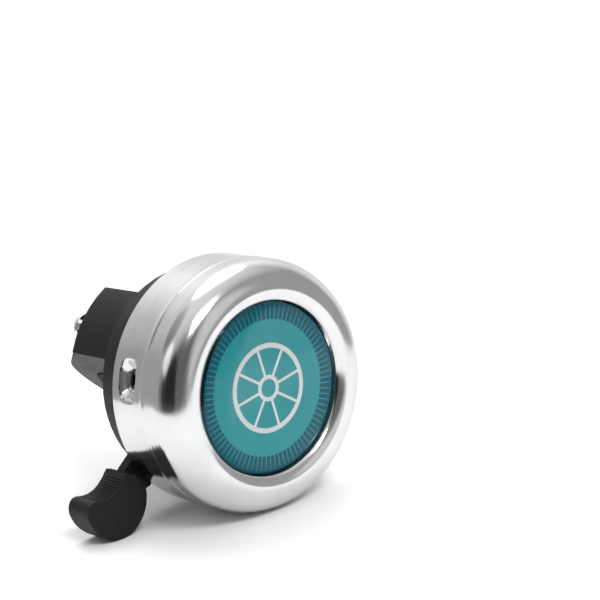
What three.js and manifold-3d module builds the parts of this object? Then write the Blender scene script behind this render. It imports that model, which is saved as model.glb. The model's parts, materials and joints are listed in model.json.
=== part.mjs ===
// Bicycle bell with a thumb lever, a geared rotor that rings the dome, and a bolted handlebar clamp.
// The bell is drawn in its own axes: x towards the first clamp lug, y towards the thumb lever, z out of
// the face, with z = 0 in the plane of the dome's rim. The last group turns it into its standing frame.
import * as THREE from 'three';
import Module from 'manifold-3d';
import { mergeVertices } from 'three/addons/utils/BufferGeometryUtils.js';

// ---- driving dimensions, millimetres and degrees ----
const DOME_R = 28.5;
const DOME_H = 21.1;
const SHOULDER_R = 6.3;
const SHEET = 0.9;
const SEAT_Z = 17.4;
const SEAT_R = 19.3;
const SEAT_DRAFT = 0.3;
const BADGE_R = 19.0;
const SINK_R = 6.0;
const SINK_Z = 14.8;
const STRIKE_ANGLE = 27;
const STRIKE_Z = 5.4;
const STRIKE_DEPTH = 2.7;
const CUP_BACK_R = 24.8;
const CUP_FRONT_R = 25.7;
const CUP_WALL = 1.6;
const CUP_BACK_Z = -9.6;
const CUP_FLOOR_Z = -7.6;
const CUP_FRONT_Z = 1.5;
const SADDLE_HALF = 8.6;
const SADDLE_Z = -22.0;
const BAR_Z = -22.6;
const BORE_R = 11.5;
const LUG_SCREW_X = 18.0;
const LUG_Z = -22.9;
const LUG_T = 2.2;
const LUG_REACH = 21.6;
const STRAP_HALF = 8.0;
const STRAP_BAND = 2.0;
const NEAR_WALL_R = 16.4;
const FAR_WALL_R = 18.4;
const SHIM_T = 1.2;
const MODULE = 0.8;
const LEVER_TEETH = 26;
const IDLER_PINION_TEETH = 8;
const IDLER_WHEEL_TEETH = 20;
const ROTOR_TEETH = 12;
const BACKLASH = 0.5;
const PIVOT_R = 17.5;
const LEVER_ANGLE = 78;
const POST_R = 2.6;
const LEVER_Z = [-4.6, -2.0];
const WHEEL_Z = [-7.2, -5.5];
const ROTOR_BAR_Z = [3.6, 4.8];
const STRIKER_R = 19.0;
const WASHER_R = 4.5;
const WASHER_HOLE_R = 2.3;
const WASHER_T = 1.2;
const STRIKER_PIN_R = 1.1;
const CLAMP_LEAN = 42;
const GAP = 0.3;
const ROUND = 24;
const FINE = 56;
const SMALL = 20;

const wasm = await Module();
wasm.setup();

const radians = (degrees) => (degrees * Math.PI) / 180;
const polar = (r, degrees) => new THREE.Vector2(r * Math.cos(radians(degrees)), r * Math.sin(radians(degrees)));

const IDLER_TO_CENTRE = (MODULE * (IDLER_WHEEL_TEETH + ROTOR_TEETH)) / 2;
const IDLER_TO_LEVER = (MODULE * (LEVER_TEETH + IDLER_PINION_TEETH)) / 2;
const IDLER_TURN = (Math.acos(
  (IDLER_TO_CENTRE ** 2 + PIVOT_R ** 2 - IDLER_TO_LEVER ** 2) / (2 * IDLER_TO_CENTRE * PIVOT_R),
) * 180) / Math.PI;
const PIVOT = polar(PIVOT_R, LEVER_ANGLE);
const IDLER = polar(IDLER_TO_CENTRE, LEVER_ANGLE + IDLER_TURN);

// ---- solids: geometry in, boolean solid out, and back ----
function solid(geometry) {
  const bare = geometry.index ? geometry.toNonIndexed() : geometry.clone();
  bare.deleteAttribute('normal');
  bare.deleteAttribute('uv');
  const merged = mergeVertices(bare, 1e-4);
  return new wasm.Manifold(new wasm.Mesh({
    numProp: 3,
    vertProperties: new Float32Array(merged.attributes.position.array),
    triVerts: new Uint32Array(merged.index.array),
  }));
}

function geometryOf(body) {
  const mesh = body.getMesh();
  const geometry = new THREE.BufferGeometry();
  geometry.setAttribute('position', new THREE.BufferAttribute(new Float32Array(mesh.vertProperties), 3));
  geometry.setIndex(new THREE.BufferAttribute(new Uint32Array(mesh.triVerts), 1));
  geometry.computeVertexNormals();
  return geometry;
}

// A solid of revolution about z, from [radius, z] points.
function turned(points, segments = ROUND) {
  const profile = points.map(([r, z]) => new THREE.Vector2(r, z));
  const geometry = new THREE.LatheGeometry(profile, segments);
  geometry.rotateX(Math.PI / 2);
  return solid(geometry);
}

function ring(outer, inner, z0, z1, segments = SMALL) {
  return turned([[inner, z0], [outer, z0], [outer, z1], [inner, z1], [inner, z0]], segments);
}

function disc(r, z0, z1, segments = SMALL) {
  return turned([[0, z0], [r, z0], [r, z1], [0, z1]], segments);
}

// A flat outline in x and y, raised from z0 to z1.
function plate(shape, z0, z1, curveSegments = 10) {
  const options = { depth: z1 - z0, bevelEnabled: false, curveSegments };
  return solid(new THREE.ExtrudeGeometry(shape, options)).translate(0, 0, z0);
}

function outline(points) {
  return new THREE.Shape(points.map(([x, y]) => new THREE.Vector2(x, y)));
}

function block(x0, x1, y0, y1, z0, z1) {
  const geometry = new THREE.BoxGeometry(x1 - x0, y1 - y0, z1 - z0);
  geometry.translate((x0 + x1) / 2, (y0 + y1) / 2, (z0 + z1) / 2);
  return solid(geometry);
}

// An outline drawn across the handlebar, in x and height above the bar's axis, from y0 to y1.
function acrossBar(shape, y0, y1, curveSegments = 18) {
  const geometry = new THREE.ExtrudeGeometry(shape, { depth: y1 - y0, bevelEnabled: false, curveSegments });
  geometry.rotateX(Math.PI / 2);
  geometry.translate(0, y1, BAR_Z);
  return solid(geometry);
}

function barCylinder(r, half, segments = 40) {
  return solid(new THREE.CylinderGeometry(r, r, 2 * half, segments)).translate(0, 0, BAR_Z);
}

// ---- gear outlines ----
// Involute flank points of one tooth, thinned by the backlash.
function gearShape(teeth, turnDegrees, addendum = 0.75, dedendum = 1.3) {
  const pitch = (MODULE * teeth) / 2;
  const base = pitch * Math.cos(radians(20));
  const tip = pitch + addendum * MODULE;
  const root = pitch - dedendum * MODULE;
  const halfPitch = Math.PI / (2 * teeth) - BACKLASH / 2 / pitch;
  const involute = (r) => {
    const pressure = Math.acos(Math.min(1, base / r));
    return Math.tan(pressure) - pressure;
  };
  const atPitch = involute(pitch);
  const start = Math.max(root, base);
  const radii = [start, (start + pitch) / 2, pitch, (pitch + tip) / 2, tip];
  const points = [];
  for (let tooth = 0; tooth < teeth; tooth += 1) {
    const centre = radians(turnDegrees) + (2 * Math.PI * tooth) / teeth;
    const half = radii.map((r) => Math.max(0.02, halfPitch + atPitch - involute(r)));
    if (root < start) {
      points.push([root, centre - half[0]]);
    }
    radii.forEach((r, i) => points.push([r, centre - half[i]]));
    [...radii].reverse().forEach((r, i) => points.push([r, centre + half[radii.length - 1 - i]]));
    if (root < start) {
      points.push([root, centre + half[0]]);
    }
  }
  return outline(points.map(([r, a]) => [r * Math.cos(a), r * Math.sin(a)]));
}

// ---- dome and badge ----
function quarterArc(cx, cz, r, fromDegrees, toDegrees, steps) {
  return Array.from({ length: steps + 1 }, (_, i) => {
    const a = radians(fromDegrees + ((toDegrees - fromDegrees) * i) / steps);
    return [cx + r * Math.cos(a), cz + r * Math.sin(a)];
  });
}

function domeBody() {
  const shoulderX = DOME_R - SHOULDER_R;
  const shoulderZ = DOME_H - SHOULDER_R;
  const inner = SHOULDER_R - SHEET;
  const outside = [
    [DOME_R, 0],
    ...quarterArc(shoulderX, shoulderZ, SHOULDER_R, 0, 90, 6),
    [SEAT_R + 0.9, DOME_H - 0.55],
    [SEAT_R + SEAT_DRAFT, DOME_H - 1.4],
    [SEAT_R, SEAT_Z],
    [SINK_R + 1, SEAT_Z],
    [SINK_R, SEAT_Z - 1],
    [SINK_R, SINK_Z],
    [2.2, SINK_Z],
  ];
  const inside = [
    [2.2, SINK_Z - SHEET],
    [SINK_R + SHEET, SINK_Z - SHEET],
    [SINK_R + SHEET + 0.6, SEAT_Z - SHEET],
    [SEAT_R + SHEET, SEAT_Z - SHEET],
    [SEAT_R + SHEET + 0.4, DOME_H - 1.6],
    ...quarterArc(shoulderX, shoulderZ, inner, 90, 0, 4),
    [DOME_R - SHEET, 0],
  ];
  let body = turned([...outside, ...inside, outside[0]], FINE);
  for (const angle of [STRIKE_ANGLE, STRIKE_ANGLE + 180]) {
    const lug = (length, height, depth, r) => {
      const geometry = new THREE.SphereGeometry(1, 16, 10);
      geometry.scale(depth, length, height);
      return solid(geometry).translate(r, 0, STRIKE_Z).rotate(0, 0, angle);
    };
    const wall = DOME_R - SHEET / 2;
    body = body.add(lug(5.0, 3.1, STRIKE_DEPTH + 0.5, wall - 0.2));
    body = body.subtract(lug(4.4, 2.5, STRIKE_DEPTH - 0.3, wall + 0.1));
    const tear = block(20, DOME_R + 2, -1.6, 1.6, STRIKE_Z - 1.0, STRIKE_Z + 1.0);
    body = body.subtract(tear.rotate(0, 0, angle));
  }
  // nothing of the pressed lugs stands outside the wall
  return body.subtract(ring(DOME_R + 6, DOME_R - 0.02, -2, DOME_H - SHOULDER_R, FINE));
}

function badgeDisc() {
  return disc(BADGE_R, SEAT_Z + GAP, SEAT_Z + 1.1, FINE);
}

// A clear lens poured on the disc: a steep rounded edge and a shallow crown.
function badgeResin() {
  const foot = SEAT_Z + 1.1 + GAP;
  const edge = BADGE_R - 0.3;
  const crown = [1, 0.75, 0.5, 0.25, 0].map((share) => [edge * share, foot + 0.7 + 0.6 * (1 - share * share)]);
  return turned([[0, foot], [edge, foot], [BADGE_R, foot + 0.25], ...crown], FINE);
}

function domeScrew() {
  const head = turned([[0, 15.1], [3.4, 15.1], [3.4, 15.9], [2.4, 16.8], [0, 16.9]]);
  const cross = block(-2, 2, -0.4, 0.4, 16.0, 18).add(block(-0.4, 0.4, -2, 2, 16.0, 18));
  return head.add(disc(1.6, 6, 15.3)).subtract(cross);
}

// ---- base: cup, saddle and posts ----
function baseCup() {
  const wall = [
    [0, CUP_BACK_Z],
    [CUP_BACK_R - 0.5, CUP_BACK_Z],
    [CUP_BACK_R, CUP_BACK_Z + 0.5],
    [CUP_FRONT_R, CUP_FRONT_Z],
    [CUP_FRONT_R - CUP_WALL, CUP_FRONT_Z],
    [CUP_BACK_R - CUP_WALL, CUP_FLOOR_Z],
    [0, CUP_FLOOR_Z],
  ];
  let body = turned(wall, FINE);
  const saddle = block(-26, 26, -SADDLE_HALF, SADDLE_HALF, SADDLE_Z, CUP_BACK_Z + 1)
    .intersect(disc(CUP_BACK_R, SADDLE_Z, CUP_BACK_Z + 1, FINE));
  body = body.add(saddle);
  body = body.add(ring(5.4, 0, CUP_BACK_Z + 1, CUP_FLOOR_Z, SMALL));
  body = body.subtract(barCylinder(BORE_R, 20));
  for (const side of [-1, 1]) {
    const x0 = side > 0 ? BORE_R + 1.2 : -CUP_BACK_R + 1.3;
    const x1 = side > 0 ? CUP_BACK_R - 1.3 : -BORE_R - 1.2;
    const recess = block(x0, x1, -SADDLE_HALF + 1.3, SADDLE_HALF - 1.3, SADDLE_Z - 1, SADDLE_Z + 1.2)
      .intersect(disc(CUP_BACK_R - 1.2, SADDLE_Z - 1, SADDLE_Z + 2, FINE));
    body = body.subtract(recess);
    body = body.subtract(disc(1.75, SADDLE_Z - 1, CUP_BACK_Z - 0.4).translate(side * LUG_SCREW_X, 0, 0));
  }
  // opening in the wall that the lever's arm swings through
  const sweep = [[20, 62], [28, 62], [28.5, 76], [28.5, 92], [28.5, 108], [28, 124], [28, 138], [20, 138]];
  const opening = outline(sweep.map(([r, a]) => polar(r, a).toArray()));
  body = body.subtract(plate(opening, LEVER_Z[0] - 0.6, CUP_FRONT_Z + 1));
  // pivot holes
  body = body.subtract(disc(1.45, CUP_BACK_Z - 0.5, 0).translate(IDLER.x, IDLER.y, 0)
    .intersect(disc(30, CUP_BACK_Z + 0.6, 5)));
  body = body.subtract(disc(1.75, CUP_BACK_Z + 0.6, 0).translate(PIVOT.x, PIVOT.y, 0));
  body = body.subtract(disc(POST_R + GAP, CUP_BACK_Z + 0.6, 0));
  return body;
}

function centrePost() {
  return turned([
    [0, CUP_BACK_Z + 0.9], [POST_R, CUP_BACK_Z + 0.9], [POST_R, 6.2], [POST_R - 0.6, 6.2],
    [POST_R - 0.6, 6.9], [POST_R, 6.9], [POST_R, 13.3], [POST_R - 0.2, 13.5], [1.9, 13.5], [1.9, 5.0], [0, 5.0],
  ]);
}

// A pin with a groove for its clip near the top.
function pivotPin(r, top) {
  return turned([
    [0, CUP_BACK_Z + 0.9], [r, CUP_BACK_Z + 0.9], [r, top - 1.5], [r - 0.4, top - 1.5],
    [r - 0.4, top - 0.7], [r, top - 0.7], [r, top - 0.2], [r - 0.2, top], [0, top],
  ]);
}

// A flat push-on clip with a slot in its side.
function retainingClip(outer, inner, z0, z1) {
  return ring(outer, inner, z0, z1).subtract(block(0, outer + 1, -inner * 0.7, inner * 0.7, z0 - 1, z1 + 1));
}

// ---- thumb lever ----
// The pad's outline: a hollow thumb curve with a rounded tip above a disc.
function padShape() {
  const pad = new THREE.Shape();
  pad.moveTo(11.4, 29.8);
  pad.bezierCurveTo(11.0, 34.6, 12.2, 37.0, 15.4, 38.5);
  pad.bezierCurveTo(16.6, 39.2, 16.6, 41.2, 14.9, 42.6);
  pad.bezierCurveTo(12.6, 44.3, 9.2, 44.7, 6.9, 44.0);
  pad.bezierCurveTo(3.4, 42.8, 1.8, 39.4, 1.9, 36.6);
  pad.bezierCurveTo(2.0, 34.0, 2.8, 32.2, 4.4, 30.4);
  pad.bezierCurveTo(6.6, 28.6, 9.4, 28.4, 11.4, 29.8);
  return pad;
}

function thumbLever() {
  const arm = outline([
    [PIVOT.x - 4.0, PIVOT.y - 1.0], [PIVOT.x + 4.2, PIVOT.y - 1.4],
    [9.9, 28.4], [9.9, 31.5], [3.6, 31.5], [1.7, 28.6],
  ]);
  const hub = ring(4.4, 0, LEVER_Z[0], LEVER_Z[1], 28).translate(PIVOT.x, PIVOT.y, 0);
  const wallT = 1.5;
  const centre = new THREE.Vector2(8.4, 37.2);
  const innerPoints = padShape().getPoints(6).map((p) => {
    const toCentre = p.clone().sub(centre);
    return toCentre.multiplyScalar(1 - wallT / Math.max(toCentre.length(), 3)).add(centre).toArray();
  });
  let body = plate(arm, LEVER_Z[0], LEVER_Z[1]).add(hub);
  body = body.add(plate(padShape(), -6.6, 1.0, 6));
  body = body.subtract(plate(outline(innerPoints), -8, -0.6));
  body = body.add(leverSector());
  body = body.subtract(disc(1.8, -8, 4).translate(PIVOT.x, PIVOT.y, 0));
  return body;
}

// The toothed sector, whose teeth face the idler and stay meshed for the whole stroke.
function leverSector() {
  const towards = Math.atan2(IDLER.y - PIVOT.y, IDLER.x - PIVOT.x);
  const mid = (towards * 180) / Math.PI;
  const wedgeRays = [0, 14, 28, 42, 56, 70, 76].map((k) => k - 60 + mid);
  const wedge = outline([[0, 0], ...wedgeRays.map((a) => polar(14, a).toArray())]);
  return plate(gearShape(LEVER_TEETH, mid), LEVER_Z[0], LEVER_Z[1])
    .intersect(plate(wedge, LEVER_Z[0], LEVER_Z[1]))
    .translate(PIVOT.x, PIVOT.y, 0);
}

function torsionSpring() {
  const wire = 0.35;
  const points = [];
  const turns = 2;
  const steps = turns * 12;
  for (let i = 0; i <= steps; i += 1) {
    const a = (2 * Math.PI * i) / 12;
    points.push(new THREE.Vector3(2.9 * Math.cos(a), 2.9 * Math.sin(a), -1.2 + (i / steps) * 1.6));
  }
  points.unshift(new THREE.Vector3(2.9, -5.5, -1.25), new THREE.Vector3(2.9, -2.5, -1.22));
  points.push(new THREE.Vector3(2.9, 2.5, 0.4), new THREE.Vector3(2.9, 6.5, 0.4));
  const section = new THREE.Shape();
  section.absarc(0, 0, wire, 0, 2 * Math.PI);
  const path = new THREE.CatmullRomCurve3(points, false, 'centripetal');
  const geometry = new THREE.ExtrudeGeometry(section, { steps: 60, extrudePath: path, curveSegments: 3 });
  return solid(geometry).translate(PIVOT.x, PIVOT.y, 0);
}

// ---- gear train, rotor and strikers ----
function idlerGear() {
  const towardsLever = (Math.atan2(PIVOT.y - IDLER.y, PIVOT.x - IDLER.x) * 180) / Math.PI;
  const towardsRotor = (Math.atan2(-IDLER.y, -IDLER.x) * 180) / Math.PI;
  const pinionTurn = towardsLever + 180 / IDLER_PINION_TEETH;
  return plate(gearShape(IDLER_WHEEL_TEETH, towardsRotor), WHEEL_Z[0], WHEEL_Z[1])
    .add(plate(gearShape(IDLER_PINION_TEETH, pinionTurn), WHEEL_Z[1] - 0.1, LEVER_Z[1] + 0.1))
    .subtract(disc(1.5, -9, 3))
    .translate(IDLER.x, IDLER.y, 0);
}

function rotor() {
  const towardsIdler = (Math.atan2(IDLER.y, IDLER.x) * 180) / Math.PI;
  const pinion = plate(gearShape(ROTOR_TEETH, towardsIdler + 180 / ROTOR_TEETH), WHEEL_Z[0], WHEEL_Z[1]);
  const hub = ring(4.4, 0, WHEEL_Z[1] - 0.1, ROTOR_BAR_Z[1] + 1.1);
  const barShape = new THREE.Shape();
  barShape.absarc(STRIKER_R, 0, 3.0, -Math.PI / 2, Math.PI / 2);
  barShape.lineTo(5.5, 4.6);
  barShape.absarc(0, 0, 5.6, Math.PI / 4, (3 * Math.PI) / 4);
  barShape.lineTo(-STRIKER_R, 3.0);
  barShape.absarc(-STRIKER_R, 0, 3.0, Math.PI / 2, (3 * Math.PI) / 2);
  barShape.lineTo(-5.5, -4.6);
  barShape.absarc(0, 0, 5.6, (5 * Math.PI) / 4, (7 * Math.PI) / 4);
  let body = pinion.add(hub).add(plate(barShape, ROTOR_BAR_Z[0], ROTOR_BAR_Z[1]));
  body = body.subtract(disc(POST_R + GAP, -10, 9));
  for (const side of [-1, 1]) {
    body = body.subtract(disc(STRIKER_PIN_R + GAP, 0, 8).translate(side * STRIKER_R, 0, 0));
  }
  return body;
}

// A riveted pin: its shank passes through the rotor's bar and the loose washer, with a head at each end.
function strikerPin(side) {
  const low = ROTOR_BAR_Z[0];
  const high = ROTOR_BAR_Z[1] + WASHER_T + 2 * GAP;
  return turned([
    [0, low - 1.1], [2.0, low - 1.1], [2.0, low - GAP], [STRIKER_PIN_R, low - GAP],
    [STRIKER_PIN_R, high], [2.9, high], [2.9, high + 0.5], [1.8, high + 0.9], [0, high + 0.9],
  ]).translate(side * STRIKER_R, 0, 0);
}

function strikerWasher(side) {
  const z = ROTOR_BAR_Z[1] + GAP;
  return ring(WASHER_R, WASHER_HOLE_R, z, z + WASHER_T, 28).translate(side * STRIKER_R, 0, 0);
}

// ---- handlebar clamp ----
function halfRound(r, top) {
  const start = Math.asin(top / r);
  const shape = new THREE.Shape();
  shape.absarc(0, 0, r, start, -Math.PI - start, true);
  return shape;
}

// The stiffening wall's outline: a straight run from each lug tip, tangent to the round back.
function gussetShape(tipX, top, tipDrop, r) {
  const away = Math.hypot(tipX, top - tipDrop);
  const tangent = Math.atan2(top - tipDrop, tipX) - Math.acos(r / away);
  const shape = new THREE.Shape();
  shape.moveTo(tipX, top);
  shape.lineTo(tipX, top - tipDrop);
  shape.absarc(0, 0, r, tangent, -Math.PI - tangent, true);
  shape.lineTo(-tipX, top - tipDrop);
  shape.lineTo(-tipX, top);
  return shape;
}

function clampStrap() {
  const top = LUG_Z - BAR_Z;
  let body = acrossBar(halfRound(BORE_R + STRAP_BAND, top), -STRAP_HALF, STRAP_HALF);
  body = body.add(acrossBar(halfRound(NEAR_WALL_R, top), -STRAP_HALF, -STRAP_HALF + 1.8));
  const tipX = Math.sqrt(LUG_REACH ** 2 - STRAP_HALF ** 2);
  const gusset = gussetShape(tipX, top, LUG_T + 1.2, FAR_WALL_R);
  body = body.add(acrossBar(gusset, STRAP_HALF - 2.2, STRAP_HALF));
  const tips = block(-24, 24, -STRAP_HALF + 0.8, STRAP_HALF, LUG_Z - LUG_T, LUG_Z)
    .intersect(disc(LUG_REACH, LUG_Z - LUG_T, LUG_Z, FINE));
  body = body.add(tips);
  body = body.subtract(barCylinder(BORE_R, 20));
  for (const side of [-1, 1]) {
    body = body.subtract(disc(2.3, LUG_Z - 3, LUG_Z + 1).translate(side * LUG_SCREW_X, 0, 0));
  }
  return body;
}

// A self-tapping pan-head screw, its head facing away from the dome. headZ is the underside of the head.
function clampScrew(side, headZ) {
  const tip = headZ + 13.2;
  const profile = [
    [0, headZ - 2.3], [1.6, headZ - 2.2], [2.8, headZ - 1.6], [3.3, headZ - 0.6], [3.3, headZ], [1.2, headZ],
  ];
  for (let z = headZ + 0.9; z < tip - 1.6; z += 1.2) {
    profile.push([1.1, z], [1.45, z + 0.35], [1.1, z + 0.7]);
  }
  profile.push([1.1, tip - 1.2], [0, tip]);
  const drive = block(-1.9, 1.9, -0.42, 0.42, headZ - 3, headZ - 0.9)
    .add(block(-0.42, 0.42, -1.9, 1.9, headZ - 3, headZ - 0.9));
  return turned(profile, 12).subtract(drive).translate(side * LUG_SCREW_X, 0, 0);
}

// The rubber strip curled inside the bore: an open ring, so that it grips bars of more than one size.
function barShim() {
  const outer = BORE_R - GAP;
  const shape = new THREE.Shape();
  const from = radians(112);
  const to = radians(112 + 318);
  shape.absarc(0, 0, outer, from, to, false);
  shape.absarc(0, 0, outer - SHIM_T, to, from, true);
  return acrossBar(shape, -STRAP_HALF - 0.4, STRAP_HALF + 0.4, 24);
}

// ---- materials and assembly ----
const paint = (color, roughness, metalness) => new THREE.MeshStandardMaterial({ color, roughness, metalness });
const FINISH = {
  dome: paint(0xd9dadb, 0.18, 1.0),
  plastic: paint(0x1f1f20, 0.55, 0.0),
  zinc: paint(0xc4c8cc, 0.3, 1.0),
  steel: paint(0xa9abad, 0.35, 1.0),
  teal: paint(0x38999f, 0.45, 0.0),
  resin: paint(0xf4fbfb, 0.05, 0.0),
  rubber: paint(0x1b1b1b, 0.8, 0.0),
  nylon: paint(0xe6e2d6, 0.5, 0.0),
};

const bell = new THREE.Group();

function piece(name, body, material, group = bell) {
  const mesh = new THREE.Mesh(geometryOf(body), material);
  mesh.name = name;
  group.add(mesh);
}

piece('dome', domeBody(), FINISH.dome);
piece('badge_disc', badgeDisc(), FINISH.teal);
piece('badge_resin', badgeResin(), FINISH.resin);
piece('dome_screw', domeScrew(), FINISH.zinc);
piece('base_cup', baseCup(), FINISH.plastic);
piece('centre_post', centrePost(), FINISH.steel);
piece('rotor', rotor(), FINISH.steel);
piece('rotor_clip', retainingClip(4.6, POST_R - 0.3, 6.3, 6.8), FINISH.steel);
piece('thumb_lever', thumbLever(), FINISH.plastic);
piece('lever_pivot_pin', pivotPin(1.45, 2.3).translate(PIVOT.x, PIVOT.y, 0), FINISH.steel);
piece('lever_clip', retainingClip(3.2, 1.35, 0.9, 1.4).translate(PIVOT.x, PIVOT.y, 0), FINISH.steel);
piece('lever_return_spring', torsionSpring(), FINISH.steel);
piece('idler_gear', idlerGear(), FINISH.nylon);
piece('idler_pin', pivotPin(1.15, 0).translate(IDLER.x, IDLER.y, 0), FINISH.steel);
piece('idler_clip', retainingClip(2.8, 1.05, -1.4, -0.9).translate(IDLER.x, IDLER.y, 0), FINISH.steel);
for (const [name, side] of [['a', 1], ['b', -1]]) {
  piece(`striker_pin_${name}`, strikerPin(side), FINISH.steel);
  piece(`striker_washer_${name}`, strikerWasher(side), FINISH.steel);
}
piece('clamp_strap', clampStrap(), FINISH.plastic);
piece('clamp_screw_a', clampScrew(1, LUG_Z - LUG_T - 3.6), FINISH.zinc);
piece('clamp_screw_b', clampScrew(-1, LUG_Z - LUG_T - 0.6), FINISH.zinc);
piece('bar_shim', barShim(), FINISH.rubber);

// Standing frame: the face looks along -Y, the lever is low on the -X side, and the handlebar leans.
const lean = radians(CLAMP_LEAN);
const basis = new THREE.Matrix4().makeBasis(
  new THREE.Vector3(-Math.cos(lean), 0, Math.sin(lean)),
  new THREE.Vector3(-Math.sin(lean), 0, -Math.cos(lean)),
  new THREE.Vector3(0, -1, 0),
);
bell.quaternion.setFromRotationMatrix(basis);
bell.position.set(0, BAR_Z, 0);

const root = new THREE.Group();
root.add(bell);
export default root;
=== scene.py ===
"""Looks for the bicycle bell: a polished dome with a printed badge, black plastics and bright screws."""

import json
import math

import bmesh
import bpy
from mathutils import Matrix, Vector


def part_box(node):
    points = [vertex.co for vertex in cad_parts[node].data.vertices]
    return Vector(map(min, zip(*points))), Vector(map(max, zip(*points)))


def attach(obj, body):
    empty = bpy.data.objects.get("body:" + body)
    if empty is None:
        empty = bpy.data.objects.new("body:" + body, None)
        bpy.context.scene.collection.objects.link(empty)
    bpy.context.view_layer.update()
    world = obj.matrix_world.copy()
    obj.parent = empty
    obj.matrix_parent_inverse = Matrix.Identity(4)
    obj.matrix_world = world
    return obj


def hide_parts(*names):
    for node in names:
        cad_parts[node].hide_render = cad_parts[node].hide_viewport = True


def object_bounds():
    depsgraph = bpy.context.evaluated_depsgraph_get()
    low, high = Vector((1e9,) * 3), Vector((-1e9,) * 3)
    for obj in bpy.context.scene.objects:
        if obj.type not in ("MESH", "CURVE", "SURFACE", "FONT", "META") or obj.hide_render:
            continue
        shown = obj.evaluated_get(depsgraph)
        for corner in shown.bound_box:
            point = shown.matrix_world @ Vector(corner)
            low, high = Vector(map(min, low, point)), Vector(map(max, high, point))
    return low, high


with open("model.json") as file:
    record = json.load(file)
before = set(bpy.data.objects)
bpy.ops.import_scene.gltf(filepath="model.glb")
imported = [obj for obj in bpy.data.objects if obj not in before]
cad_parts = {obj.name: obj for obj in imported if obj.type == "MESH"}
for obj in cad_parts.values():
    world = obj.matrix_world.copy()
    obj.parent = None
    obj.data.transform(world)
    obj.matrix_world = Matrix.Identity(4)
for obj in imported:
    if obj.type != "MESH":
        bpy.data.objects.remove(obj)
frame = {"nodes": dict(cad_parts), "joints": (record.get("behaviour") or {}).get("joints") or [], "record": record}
CAD_BOX = [list(corner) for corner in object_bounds()]

MM = 0.001
# ---- the bell's own axes, from the frame ----
# a points towards the first lug, b towards the lever and w out of the face.
JOINTS = {joint["name"]: joint for joint in frame["joints"]}
W = Vector(JOINTS["rotor_spin"]["axis"])
A = Vector(JOINTS["washer_a_throw"]["axis"])
B = W.cross(A)
RIM_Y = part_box("dome")[1].y
BELL = Matrix((A, B, W)).transposed().to_4x4()
BELL.translation = Vector((0, RIM_Y, 0))

# ---- driving dimensions in millimetres ----
# Heights on the bell are measured from the dome's rim towards its face.
DOME_R = 28.5
DOME_H = 21.1
SHEET = 0.9
SHOULDER_R = 6.3
FACE_DIP = 1.3  # how far the face falls from the crest of the shoulder to the edge of the badge's recess
# A low ridge round the wall: its height, how far it stands out and half its width.
BEAD_Z, BEAD_OUT, BEAD_HALF = 10.6, 0.13, 0.55
SEAT_R = 19.4
SEAT_Z = DOME_H - 3.7
SINK_R = 6.0  # the sink for the dome screw, in the middle of the recess
SINK_Z = DOME_H - 6.3
SCREW_HOLE_R = 2.2
# ---- the two strike lugs pressed into the wall, and the tear in each ----
STRIKE_ANGLE = 27.0
STRIKE_Z = 5.2
STRIKE_DEPTH = 2.2
STRIKE_HALF = (5.0, 3.0)
TEAR_HALF = (1.9, 1.1)
# ---- the badge: a printed disc under a clear domed lens ----
BADGE_R = 19.2
BADGE_LIFT = 0.3
PRINT_THICK = 0.8
LENS_GAP = 0.04
LENS_SKIRT = 0.12
LENS_CROWN = 1.45
# ---- the clamp screws ----
SCREW_A = 18.0
HEAD_R, HEAD_H = 3.3, 2.3
CROWN_R, CROWN_FALL = 2.9, 0.75
CROSS_DEPTH, CROSS_HALF, CROSS_REACH = 1.35, 0.40, 1.95
CORE_R, CREST_R, PITCH = 1.1, 1.45, 1.2
SHANK, TIP = 12.0, 13.2
# ---- the ribs on the thumb pad: the hollow they cross is a cubic curve on the bell's axes a and b ----
THUMB_HOLLOW = ((11.4, 29.8), (11.0, 34.6), (12.2, 37.0), (15.4, 38.5))
RIB_COUNT = 15
RIB_ENDS = (-6.1, 0.5)
RIB_R, RIB_TIP_R, RIB_TAPER = 0.26, 0.12, 0.25
# ---- the room that polished metal reflects ----
# Its grey, and soft round zones as (direction, cosines where it starts and is full, added level).
ROOM_GREY = 0.42
ROOM_DARKEST = 0.02
ROOM_ZONES = (
    ((0.62, 0.75, -0.05), (0.45, 0.75), 0.63),
    ((0.0, 0.2, 1.0), (0.45, 0.90), 0.50),
    ((-0.60, -0.78, 0.15), (0.72, 0.90), -0.28),
    ((-1.0, -0.20, 0.05), (0.80, 0.95), -0.38),
    ((-0.95, 0.10, 0.55), (0.965, 0.985), 0.75),
    ((-0.60, 0.45, 0.80), (0.93, 0.98), -0.45),
    ((0.25, -0.95, 0.20), (0.93, 0.97), 0.35),
)
# ---- floor, light and camera, in metres and degrees ----
FLOOR_R = 0.19
LIGHT_TARGET = (0, -0.03, 0)
CAMERA_AZIMUTH, CAMERA_ELEVATION, CAMERA_ROLL = -39.8, 12.7, -6.7
CAMERA_TARGET = (0.0185, -0.0337, 0.0149)
CAMERA_DISTANCE = 0.4222
LENS_MM, SENSOR_MM = 111.0, 36.0
MERGE = 1e-6  # vertices closer than this are one vertex


def link(name, mesh):
    piece = bpy.data.objects.new(name, mesh)
    bpy.context.scene.collection.objects.link(piece)
    return piece


def smooth(mesh, sharp_degrees):
    for polygon in mesh.polygons:
        polygon.use_smooth = True
    mesh.set_sharp_from_angle(angle=math.radians(sharp_degrees))


def mesh_of(points, faces, name):
    mesh = bpy.data.meshes.new(name)
    mesh.from_pydata(points, [], faces)
    mesh.update()
    return mesh


def arc(cx, cz, r, start, end, steps):
    angles = [math.radians(start + (end - start) * i / steps) for i in range(steps + 1)]
    return [(cx + r * math.cos(a), cz + r * math.sin(a)) for a in angles]


def bell_place(a, b, w):
    """A place given in millimetres on the bell's own axes, in metres in the frame."""
    return BELL @ (Vector((a, b, w)) * MM)


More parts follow.
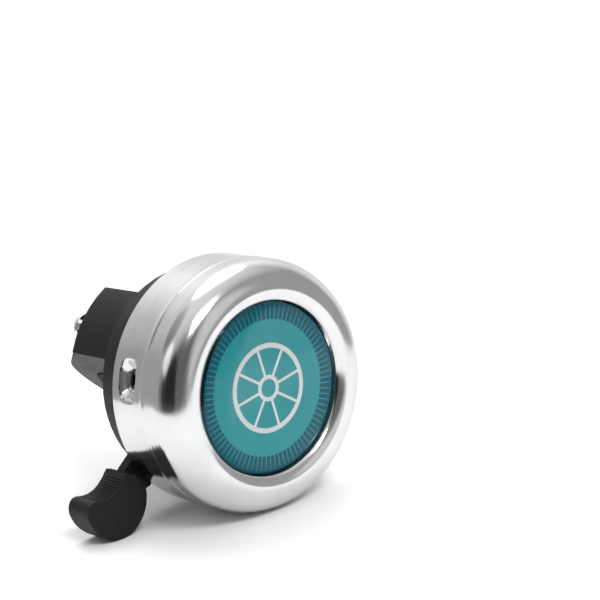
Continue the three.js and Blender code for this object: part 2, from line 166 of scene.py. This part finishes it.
def bell_point(r, degrees, w):
    """The same from a radius, an angle from the first lug and a height."""
    turn = math.radians(degrees)
    return bell_place(r * math.cos(turn), r * math.sin(turn), w)


# ---- materials ----
def new_material(name):
    material = bpy.data.materials.new(name)
    material.use_nodes = True
    nodes = material.node_tree.nodes
    return material, nodes, material.node_tree.links, nodes["Principled BSDF"]


def noise(nodes, links, scale, detail, place=None):
    """Noise over the object's own coordinates, or over another place vector."""
    if place is None:
        place = nodes.new("ShaderNodeTexCoord").outputs["Object"]
    texture = nodes.new("ShaderNodeTexNoise")
    texture.inputs["Scale"].default_value = scale
    texture.inputs["Detail"].default_value = detail
    links.new(place, texture.inputs["Vector"])
    return texture.outputs["Fac"]


def ramp(nodes, links, factor, stops):
    """Two colours, each with the factor at which it is reached."""
    node = nodes.new("ShaderNodeValToRGB")
    for element, (position, color) in zip(node.color_ramp.elements, stops):
        element.position = position
        element.color = (*color, 1.0)
    links.new(factor, node.inputs["Fac"])
    return node.outputs["Color"]


def bump(nodes, links, height, strength, distance, under=None):
    """A bumped normal, laid over another normal where one is given."""
    node = nodes.new("ShaderNodeBump")
    node.inputs["Strength"].default_value = strength
    node.inputs["Distance"].default_value = distance
    links.new(height, node.inputs["Height"])
    if under is not None:
        links.new(under, node.inputs["Normal"])
    return node.outputs["Normal"]


def math_node(nodes, links, operation, first, second=None, clamp=False):
    node = nodes.new("ShaderNodeMath")
    node.operation = operation
    node.use_clamp = clamp
    for socket, value in zip(node.inputs, (first, second)):
        if value is None:
            continue
        if isinstance(value, (int, float)):
            socket.default_value = value
        else:
            links.new(value, socket)
    return node.outputs["Value"]


def grey(value):
    return (value, value, value)


def polished_aluminium():
    """Spun and polished sheet: soft waves and fine marks that all run round the bell's axis."""
    material, nodes, links, shader = new_material("polished_aluminium")
    shader.inputs["Metallic"].default_value = 1.0
    shader.inputs["Specular Tint"].default_value = (0.80, 0.80, 0.80, 1.0)
    split = nodes.new("ShaderNodeSeparateXYZ")
    links.new(nodes.new("ShaderNodeTexCoord").outputs["Object"], split.inputs["Vector"])
    x, z = split.outputs["X"], split.outputs["Z"]
    squared = math_node(nodes, links, "ADD", math_node(nodes, links, "MULTIPLY", x, x),
                        math_node(nodes, links, "MULTIPLY", z, z))
    turned_place = nodes.new("ShaderNodeCombineXYZ")
    links.new(math_node(nodes, links, "SQRT", squared), turned_place.inputs["X"])
    links.new(split.outputs["Y"], turned_place.inputs["Y"])
    waves = noise(nodes, links, 210.0, 2.0, turned_place.outputs["Vector"])
    marks = noise(nodes, links, 2600.0, 3.0, turned_place.outputs["Vector"])
    cloudy = noise(nodes, links, 90.0, 5.0)
    links.new(ramp(nodes, links, cloudy, [(0.3, (0.66, 0.665, 0.67)), (0.75, (0.74, 0.745, 0.75))]),
              shader.inputs["Base Color"])
    links.new(ramp(nodes, links, marks, [(0.25, grey(0.11)), (0.8, grey(0.20))]), shader.inputs["Roughness"])
    fine = bump(nodes, links, marks, 0.10, 0.00002)
    links.new(bump(nodes, links, waves, 0.5, 0.0003, under=fine), shader.inputs["Normal"])
    return material


def moulded_plastic(name, color, low, high, grain=2600.0, depth=0.00006):
    material, nodes, links, shader = new_material(name)
    shader.inputs["Specular IOR Level"].default_value = 0.24
    patches = noise(nodes, links, 130.0, 6.0)
    darker = tuple(0.8 * c for c in color)
    lighter = tuple(1.25 * c for c in color)
    links.new(ramp(nodes, links, patches, [(0.3, darker), (0.75, lighter)]), shader.inputs["Base Color"])
    links.new(ramp(nodes, links, patches, [(0.3, grey(low)), (0.75, grey(high))]), shader.inputs["Roughness"])
    grained = bump(nodes, links, noise(nodes, links, grain, 5.0), 0.35, depth)
    links.new(grained, shader.inputs["Normal"])
    return material


def plated(name, color, low, high):
    material, nodes, links, shader = new_material(name)
    shader.inputs["Metallic"].default_value = 1.0
    cloudy = noise(nodes, links, 420.0, 6.0)
    darker = tuple(0.82 * c for c in color)
    links.new(ramp(nodes, links, cloudy, [(0.3, darker), (0.75, color)]), shader.inputs["Base Color"])
    links.new(ramp(nodes, links, cloudy, [(0.3, grey(low)), (0.75, grey(high))]), shader.inputs["Roughness"])
    pitted = bump(nodes, links, noise(nodes, links, 2200.0, 4.0), 0.15, 0.00003)
    links.new(pitted, shader.inputs["Normal"])
    return material


def clear_resin():
    material, nodes, links, shader = new_material("clear_resin")
    shader.inputs["Transmission Weight"].default_value = 1.0
    shader.inputs["IOR"].default_value = 1.30
    faint = noise(nodes, links, 60.0, 2.0)
    links.new(ramp(nodes, links, faint, [(0.2, grey(0.012)), (0.9, grey(0.03))]), shader.inputs["Roughness"])
    links.new(ramp(nodes, links, faint, [(0.2, (0.97, 0.99, 0.99)), (0.9, (1.0, 1.0, 1.0))]),
              shader.inputs["Base Color"])
    return material


def badge_print():
    """Teal field, a darker rim with fine radial lines, and a plain spoked wheel in white."""
    field_r, rim_fade_r = BADGE_R * 0.80, BADGE_R * 0.985
    tyre_r, tyre_half = 9.5, 0.6
    hub_r, hub_half = 2.5, 0.5
    spoke_count, spoke_phase, spoke_half = 8, 0.2, 0.36
    ray_count, ray_half, ray_level = 84, 0.15, 0.8
    edge, field_edge, ray_edge, rim_fade = 0.08, 0.15, 0.10, 2.2
    material, nodes, links, shader = new_material("badge_print")
    shader.inputs["Specular IOR Level"].default_value = 0.05

    def calc(operation, first, second=None, clamp=False):
        return math_node(nodes, links, operation, first, second, clamp)

    def inside(value, limit, soft):
        return calc("MULTIPLY", calc("SUBTRACT", limit, value), 1.0 / soft, clamp=True)

    split = nodes.new("ShaderNodeSeparateXYZ")
    links.new(nodes.new("ShaderNodeTexCoord").outputs["Object"], split.inputs["Vector"])
    x = calc("MULTIPLY", split.outputs["X"], 1 / MM)
    z = calc("MULTIPLY", split.outputs["Z"], 1 / MM)
    radius = calc("SQRT", calc("ADD", calc("MULTIPLY", x, x), calc("MULTIPLY", z, z)))
    angle = calc("ARCTAN2", z, x)
    field = inside(radius, field_r, field_edge)

    def repeat(count, phase=0.0):
        turns = calc("MULTIPLY", calc("ADD", angle, math.pi + phase), count / (2 * math.pi))
        return calc("ABSOLUTE", calc("SUBTRACT", calc("FRACT", turns), 0.5))

    ray_fade = calc("MULTIPLY", inside(radius, rim_fade_r, rim_fade), ray_level)
    ray = calc("MULTIPLY", inside(repeat(ray_count), ray_half, ray_edge), ray_fade)

    def ring(centre, half):
        return inside(calc("ABSOLUTE", calc("SUBTRACT", radius, centre)), half, edge)

    between = calc("MULTIPLY", repeat(spoke_count, spoke_phase), 2 * math.pi / spoke_count)
    across = calc("MULTIPLY", between, radius)
    spokes = calc("MULTIPLY", inside(across, spoke_half, edge), inside(radius, tyre_r - 0.3, edge))
    outside_hub = inside(calc("MULTIPLY", radius, -1.0), 0.2 - hub_r, edge)
    spokes = calc("MULTIPLY", spokes, outside_hub)
    motif = calc("MAXIMUM", calc("MAXIMUM", ring(tyre_r, tyre_half), ring(hub_r, hub_half)), spokes)

    def blend(factor, low, high):
        node = nodes.new("ShaderNodeMix")
        node.data_type = "RGBA"
        sockets = {s.identifier: s for s in node.inputs}
        links.new(factor, sockets["Factor_Float"])
        for key, value in (("A_Color", low), ("B_Color", high)):
            if isinstance(value, tuple):
                sockets[key].default_value = (*value, 1.0)
            else:
                links.new(value, sockets[key])
        return next(s for s in node.outputs if s.identifier == "Result_Color")

    mottled = noise(nodes, links, 300.0, 4.0)
    teal = ramp(nodes, links, mottled, [(0.3, (0.026, 0.385, 0.425)), (0.8, (0.034, 0.415, 0.455))])
    rim = blend(ray, (0.0, 0.125, 0.178), (0.04, 0.48, 0.57))
    printed = blend(field, rim, teal)
    links.new(blend(motif, printed, (0.92, 0.93, 0.93)), shader.inputs["Base Color"])
    links.new(ramp(nodes, links, mottled, [(0.3, grey(0.5)), (0.8, grey(0.58))]), shader.inputs["Roughness"])
    return material


# ---- turned pieces ----
def dome_profile():
    """The outside of the sheet from the rim to the screw hole, as (radius, height)."""
    shoulder_z = DOME_H - SHOULDER_R
    crest_r = DOME_R - SHOULDER_R
    wall_rows, shoulder_rows = 54, 22
    heights = [shoulder_z * i / wall_rows for i in range(wall_rows)]
    wall = [(DOME_R + BEAD_OUT * math.exp(-(((z - BEAD_Z) / BEAD_HALF) ** 2)), z) for z in heights]
    shoulder = arc(crest_r, shoulder_z, SHOULDER_R, 0, 90, shoulder_rows)
    dip = [(crest_r - (crest_r - SEAT_R) * t, DOME_H - FACE_DIP * t * t) for t in (0.25, 0.5, 0.75, 0.92)]
    lip = DOME_H - FACE_DIP - 0.25
    seat_row_r = 12.0
    seat = [(SEAT_R, lip), (SEAT_R - 0.02, SEAT_Z + 0.3), (SEAT_R - 0.3, SEAT_Z), (seat_row_r, SEAT_Z)]
    sink = [(SINK_R + 1.0, SEAT_Z), (SINK_R, SEAT_Z - 0.8), (SINK_R - 0.2, SINK_Z), (SCREW_HOLE_R, SINK_Z)]
    return wall + shoulder[:-1] + [(crest_r, DOME_H)] + dip + seat + sink


def offset_profile(profile, thickness):
    """The same profile moved inwards along its own normals."""
    moved = []
    for i, (r, z) in enumerate(profile):
        before, after = profile[max(0, i - 1)], profile[min(len(profile) - 1, i + 1)]
        dr, dz = after[0] - before[0], after[1] - before[1]
        length = math.hypot(dr, dz) or 1.0
        moved.append((r - thickness * dz / length, z + thickness * dr / length))
    moved[0] = (profile[0][0] - thickness, profile[0][1])
    moved[-1] = (profile[-1][0], profile[-1][1] - thickness)
    return moved


def strike_depth(degrees, z):
    """How far the wall is pressed in, and whether the metal is torn through there."""
    along_power, up_power, corner = 2.6, 4.0, 0.4
    steepness = 1.9
    best, torn = 0.0, False
    for centre in (STRIKE_ANGLE, STRIKE_ANGLE + 180.0):
        along = math.radians((degrees - centre + 180.0) % 360.0 - 180.0) * DOME_R
        up = z - STRIKE_Z
        u, v = abs(along) / STRIKE_HALF[0], abs(up) / STRIKE_HALF[1]
        # 0 in the middle of the lug and 1 on its outline, an oblong with round corners
        reach = (u ** along_power + v ** up_power) ** corner
        if reach < 1:
            slope = min(1.0, (1 - reach) * steepness)
            best = max(best, STRIKE_DEPTH * slope * slope * (3 - 2 * slope))
        # the tear narrows towards the face
        share = (up + TEAR_HALF[1]) / (2 * TEAR_HALF[1])
        if 0 < share < 1 and abs(along) < TEAR_HALF[0] * (1.05 - share):
            torn = True
    return best, torn


def make_dome(segments=420):
    """The sheet as an outer and an inner skin, closed at the rim, at the screw hole and round each tear."""
    outer = dome_profile()
    inner = offset_profile(outer, SHEET)
    rows = len(outer)
    last = rows - 1
    points = []
    for profile in (outer, inner):
        for r, z in profile:
            for j in range(segments):
                degrees = 360.0 * j / segments
                points.append(bell_point(r - strike_depth(degrees, z)[0], degrees, z))

    def index(layer, i, j):
        return layer * rows * segments + i * segments + j % segments

    torn = set()
    for i in range(last):
        z = (outer[i][1] + outer[i + 1][1]) / 2
        for j in range(segments):
            if strike_depth(360.0 * (j + 0.5) / segments, z)[1]:
                torn.add((i, j))
    faces = []
    for i in range(last):
        for j in range(segments):
            if (i, j) in torn:
                continue
            faces.append((index(0, i, j), index(0, i, j + 1), index(0, i + 1, j + 1), index(0, i + 1, j)))
            faces.append((index(1, i, j), index(1, i + 1, j), index(1, i + 1, j + 1), index(1, i, j + 1)))
    for j in range(segments):
        faces.append((index(0, 0, j), index(1, 0, j), index(1, 0, j + 1), index(0, 0, j + 1)))
        faces.append((index(0, last, j), index(0, last, j + 1), index(1, last, j + 1), index(1, last, j)))
    # each side of a torn cell: the way to the next cell, and the corners where that side starts and ends
    sides = (
        ((0, -1), (0, 0), (1, 0)),
        ((0, 1), (1, 1), (0, 1)),
        ((-1, 0), (0, 1), (0, 0)),
        ((1, 0), (1, 0), (1, 1)),
    )
    for i, j in torn:
        for (di, dj), start, end in sides:
            if (i + di, (j + dj) % segments) in torn:
                continue
            p, q = (i + start[0], j + start[1]), (i + end[0], j + end[1])
            faces.append((index(0, *p), index(0, *q), index(1, *q), index(1, *p)))
    mesh = mesh_of(points, faces, "dome_shell")
    mesh.validate()
    fix_normals(mesh)
    smooth(mesh, sharp_degrees=40)
    piece = link("dome_shell", mesh)
    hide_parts("dome")
    return piece


def fix_normals(mesh):
    """Drops the vertices that the tears leave without a face, and turns every face outwards."""
    work = bmesh.new()
    work.from_mesh(mesh)
    loose = [v for v in work.verts if not v.link_faces]
    bmesh.ops.delete(work, geom=loose, context="VERTS")
    bmesh.ops.recalc_face_normals(work, faces=work.faces)
    work.to_mesh(mesh)
    work.free()


def turned(name, profile, segments=192):
    """A closed solid turned about the bell's axis, from (radius, height) points that start and end on it."""
    work = bmesh.new()
    rings = []
    for r, z in profile:
        if r == 0:
            rings.append([work.verts.new(bell_point(0, 0, z))])
        else:
            rings.append([work.verts.new(bell_point(r, 360.0 * j / segments, z)) for j in range(segments)])
    for lower, upper in zip(rings, rings[1:]):
        for j in range(segments):
            k = (j + 1) % segments
            corners = [lower[j % len(lower)], lower[k % len(lower)]]
            corners += [upper[k % len(upper)], upper[j % len(upper)]]
            # a ring on the axis is one vertex, so the faces beside it are triangles
            unique = list(dict.fromkeys(corners))
            if len(unique) > 2:
                work.faces.new(unique)
    bmesh.ops.recalc_face_normals(work, faces=work.faces)
    mesh = bpy.data.meshes.new(name)
    work.to_mesh(mesh)
    work.free()
    smooth(mesh, sharp_degrees=40)
    return link(name, mesh)


def make_badge():
    base = SEAT_Z + BADGE_LIFT
    top = base + PRINT_THICK
    printed = turned("badge_face", [(0, base), (BADGE_R - 0.1, base), (BADGE_R, base + 0.1),
                                    (BADGE_R, top - 0.05), (BADGE_R - 0.05, top), (0, top)])
    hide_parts("badge_disc")
    foot = top + LENS_GAP
    sag, edge_share, steps = 0.45, 0.045, 24
    lens = []
    for i in range(steps + 1):
        r = BADGE_R * (1 - i / steps)
        share = r / BADGE_R
        height = LENS_CROWN * (1 - share ** 2 * sag) * min(1.0, ((1 - share) / edge_share) ** 0.5)
        lens.append((r, foot + LENS_SKIRT + height))
    resin = turned("badge_dome", [(0, foot), (BADGE_R - 0.1, foot), (BADGE_R, foot + LENS_SKIRT / 2), *lens])
    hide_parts("badge_resin")
    return printed, resin


# ---- moulded and turned pieces that keep their CAD shape, with rounded edges ----
def softened(node, name, width_mm, sharp=28):
    """A copy of a CAD node whose flat areas are joined up and whose sharp edges are rounded."""
    work = bmesh.new()
    work.from_mesh(frame["nodes"][node].data)
    bmesh.ops.remove_doubles(work, verts=work.verts, dist=MERGE)
    flat = math.radians(1.0)
    bmesh.ops.dissolve_limit(work, angle_limit=flat, verts=work.verts, edges=work.edges)
    mesh = bpy.data.meshes.new(name)
    work.to_mesh(mesh)
    work.free()
    smooth(mesh, sharp)
    piece = link(name, mesh)
    bevel = piece.modifiers.new("rounded_edges", "BEVEL")
    bevel.width = width_mm * MM
    bevel.segments = 3
    bevel.limit_method = "ANGLE"
    bevel.angle_limit = math.radians(sharp)
    bevel.harden_normals = True
    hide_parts(node)
    return piece


def screw_profile():
    """(radius, height above the head's underside), from the middle of the head's top to the point.

    The second value is how many of its rows, from the first, are the head's crown.
    """
    crown_steps, crown_power, edge_r = 22, 2.4, 0.8
    crown = []
    for i in range(crown_steps + 1):
        share = i / crown_steps
        crown.append((CROWN_R * share, CROWN_FALL * share ** crown_power - HEAD_H))
    edge = arc(HEAD_R - edge_r, -0.85, edge_r, -45, 0, 6)
    profile = crown + edge + [(HEAD_R, -0.08), (HEAD_R - 0.08, 0.0), (CORE_R + 0.1, 0.0), (CORE_R, 0.5)]
    ridge = ((CORE_R, 0.0), (CREST_R - 0.07, 0.27), (CREST_R, 0.35), (CREST_R - 0.07, 0.43), (CORE_R, 0.7))
    start, turns = 0.9, 9
    for turn in range(turns):
        profile += [(r, start + turn * PITCH + rise) for r, rise in ridge]
    return profile + [(CORE_R, SHANK), (0.0, TIP)], len(crown)


def make_screw(node, side, segments=112):
    """A pan-head screw with a cross recess, standing where the CAD screw stands."""
    top = (RIM_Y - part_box(node)[1].y) / MM
    profile, crown_rows = screw_profile()
    points = []
    for row, (r, height) in enumerate(profile):
        for j in range(segments):
            turn = 2 * math.pi * j / segments
            u, v = r * math.cos(turn), r * math.sin(turn)
            aside, along = min(abs(u), abs(v)), max(abs(u), abs(v))
            in_recess = row < crown_rows and aside < CROSS_HALF and along < CROSS_REACH
            cut = CROSS_DEPTH * (1 - along / CROWN_R) if in_recess else 0.0
            points.append(bell_place(side * SCREW_A + u, v, top + HEAD_H + height + cut))
    faces = []
    for row in range(len(profile) - 1):
        for j in range(segments):
            k = (j + 1) % segments
            low, high = row * segments, (row + 1) * segments
            faces.append((low + j, low + k, high + k, high + j))
    name = node + "_turned"
    mesh = mesh_of(points, faces, name)
    work = bmesh.new()
    work.from_mesh(mesh)
    bmesh.ops.remove_doubles(work, verts=work.verts, dist=MERGE)
    bmesh.ops.recalc_face_normals(work, faces=work.faces)
    work.to_mesh(mesh)
    work.free()
    smooth(mesh, sharp_degrees=38)
    piece = link(name, mesh)
    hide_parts(node)
    return piece


def bezier(p0, p1, p2, p3, t):
    s = 1 - t
    weights = (s**3, 3 * s * s * t, 3 * s * t * t, t**3)
    return tuple(sum(w * p[axis] for w, p in zip(weights, (p0, p1, p2, p3))) for axis in (0, 1))


def make_thumb_ribs():
    """Fine raised ribs across the hollow of the thumb pad, each a small rounded bar."""
    first, spread, sections = 0.10, 0.80, 12
    low, high = RIB_ENDS
    stations = ((low, RIB_TIP_R), (low + RIB_TAPER, RIB_R), (high - RIB_TAPER, RIB_R), (high, RIB_TIP_R))
    work = bmesh.new()
    for i in range(RIB_COUNT):
        x, y = bezier(*THUMB_HOLLOW, first + spread * i / (RIB_COUNT - 1))
        rings = []
        for w, r in stations:
            ring = []
            for j in range(sections):
                turn = 2 * math.pi * j / sections
                ring.append(work.verts.new(bell_place(x + r * math.cos(turn), y + r * math.sin(turn), w)))
            rings.append(ring)
        for lower, upper in zip(rings, rings[1:]):
            for j in range(sections):
                k = (j + 1) % sections
                work.faces.new((lower[j], lower[k], upper[k], upper[j]))
        work.faces.new(rings[0])
        work.faces.new(rings[-1])
    bmesh.ops.recalc_face_normals(work, faces=work.faces)
    mesh = bpy.data.meshes.new("thumb_ribs")
    work.to_mesh(mesh)
    work.free()
    smooth(mesh, sharp_degrees=50)
    piece = link("thumb_ribs", mesh)
    return piece


def paint(piece, material):
    piece.data.materials.clear()
    piece.data.materials.append(material)


# ---- floor, light and camera ----
def make_floor():
    """A level floor at the lowest point, where the thumb pad and the dome's wall both touch down."""
    work = bmesh.new()
    bmesh.ops.create_circle(work, cap_ends=True, segments=96, radius=FLOOR_R)
    mesh = bpy.data.meshes.new("floor")
    work.to_mesh(mesh)
    work.free()
    floor = link("floor", mesh)
    floor.location = (0, 0, CAD_BOX[0][2])
    material, nodes, links, shader = new_material("white_floor")
    shade = noise(nodes, links, 3.0, 2.0)
    links.new(ramp(nodes, links, shade, [(0.3, grey(0.93)), (0.7, grey(0.95))]), shader.inputs["Base Color"])
    shader.inputs["Roughness"].default_value = 0.75
    paint(floor, material)


def make_light(name, size, power, location):
    data = bpy.data.lights.new(name, "AREA")
    data.shape = "RECTANGLE"
    data.size, data.size_y = size
    data.energy = power
    lamp = bpy.data.objects.new(name, data)
    bpy.context.scene.collection.objects.link(lamp)
    lamp.location = location
    direction = Vector(LIGHT_TARGET) - Vector(location)
    lamp.rotation_mode = "QUATERNION"
    lamp.rotation_quaternion = direction.to_track_quat("-Z", "Y")


def make_sun(name, strength, angle_degrees, toward):
    """An even overhead light with soft edges, so that the floor is lit the same everywhere."""
    data = bpy.data.lights.new(name, "SUN")
    data.energy = strength
    data.angle = math.radians(angle_degrees)
    lamp = bpy.data.objects.new(name, data)
    bpy.context.scene.collection.objects.link(lamp)
    lamp.rotation_mode = "QUATERNION"
    lamp.rotation_quaternion = Vector(toward).to_track_quat("Z", "Y")


def make_world():
    """A room for reflections: white behind the bell and overhead, dark behind the camera and to its left."""
    world = bpy.data.worlds.new("studio")
    bpy.context.scene.world = world
    world.use_nodes = True
    nodes, links = world.node_tree.nodes, world.node_tree.links
    background = nodes["Background"]
    direction = nodes.new("ShaderNodeTexCoord").outputs["Generated"]

    def zone(way, edges, level):
        """Brightness level within a soft-edged round zone about a direction, 0 outside it."""
        dot = nodes.new("ShaderNodeVectorMath")
        dot.operation = "DOT_PRODUCT"
        dot.inputs[1].default_value = Vector(way).normalized()
        links.new(direction, dot.inputs[0])
        start, full = edges
        span = math_node(nodes, links, "SUBTRACT", dot.outputs["Value"], start)
        share = math_node(nodes, links, "MULTIPLY", span, 1.0 / (full - start), clamp=True)
        return math_node(nodes, links, "MULTIPLY", share, level)

    total = ROOM_GREY
    for way, edges, level in ROOM_ZONES:
        total = math_node(nodes, links, "ADD", zone(way, edges, level), total)
    total = math_node(nodes, links, "MAXIMUM", total, ROOM_DARKEST)
    # the room only shows in reflections: looked at directly, it is a plain white backdrop
    seen = nodes.new("ShaderNodeLightPath").outputs["Is Camera Ray"]
    links.new(math_node(nodes, links, "MAXIMUM", total, seen), background.inputs["Color"])
    background.inputs["Strength"].default_value = 1.0


def make_camera():
    """The camera stands to the left of the face and a little above it, turned slightly about its own axis."""
    data = bpy.data.cameras.new("camera")
    camera = bpy.data.objects.new("camera", data)
    bpy.context.scene.collection.objects.link(camera)
    azimuth, elevation, roll = (math.radians(a) for a in (CAMERA_AZIMUTH, CAMERA_ELEVATION, CAMERA_ROLL))
    back = Vector((math.sin(azimuth) * math.cos(elevation), -math.cos(azimuth) * math.cos(elevation),
                   math.sin(elevation)))
    right = Vector((math.cos(azimuth), math.sin(azimuth), 0))
    up = back.cross(right)
    right, up = (right * math.cos(roll) + up * math.sin(roll), up * math.cos(roll) - right * math.sin(roll))
    camera.matrix_world = Matrix((right, up, back)).transposed().to_4x4()
    camera.location = Vector(CAMERA_TARGET) + back * CAMERA_DISTANCE
    data.lens = LENS_MM
    data.sensor_width = SENSOR_MM
    bpy.context.scene.camera = camera


def main():
    make_camera()
    make_world()
    make_floor()
    make_sun("overhead", 1.2, 40, (0.24, 0.36, 1.0))
    make_light("face_softbox", (0.45, 0.3), 6.5, (-0.2, -0.80, 0.85))
    bpy.context.scene.view_settings.view_transform = "Standard"

    metal = polished_aluminium()
    black = moulded_plastic("moulded_black", (0.0062, 0.0062, 0.0066), 0.42, 0.58)
    lever_black = moulded_plastic("lever_black", (0.0070, 0.0070, 0.0074), 0.5, 0.66, 1500.0, 0.00016)
    rubber = moulded_plastic("rubber", (0.0065, 0.0065, 0.007), 0.6, 0.8, 1500.0, 0.0001)
    zinc = plated("bright_zinc", (0.80, 0.83, 0.86), 0.14, 0.28)
    steel = plated("plain_steel", (0.58, 0.57, 0.56), 0.28, 0.45)
    nylon = moulded_plastic("nylon", (0.62, 0.59, 0.50), 0.35, 0.5)

    dome = make_dome()
    paint(dome, metal)
    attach(dome, "root")
    printed, resin = make_badge()
    paint(printed, badge_print())
    paint(resin, clear_resin())
    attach(printed, "root")
    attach(resin, "root")

    softened_nodes = (
        ("base_cup", "cup_and_saddle", 0.35, "black_plastic", "root", black),
        ("clamp_strap", "strap", 0.3, "black_plastic", "root", black),
        ("thumb_lever", "lever", 0.45, "black_plastic", "lever", lever_black),
        ("bar_shim", "rubber_strip", 0.15, "rubber", "root", rubber),
    )
    for node, name, width, slot, body, material in softened_nodes:
        piece = softened(node, name, width)
        paint(piece, material)
        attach(piece, body)
    ribs = make_thumb_ribs()
    paint(ribs, lever_black)
    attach(ribs, "lever")

    for node, side in (("clamp_screw_a", 1), ("clamp_screw_b", -1)):
        screw = make_screw(node, side)
        paint(screw, zinc)
        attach(screw, "root")

    finishes = {"zinc": zinc, "steel": steel, "nylon": nylon}
    slots = {part["node"]: part["material_slot"] for part in frame["record"]["subparts"]}
    for name, node in frame["nodes"].items():
        if slots.get(name) in finishes:
            paint(node, finishes[slots[name]])
            smooth(node.data, sharp_degrees=35)


main()
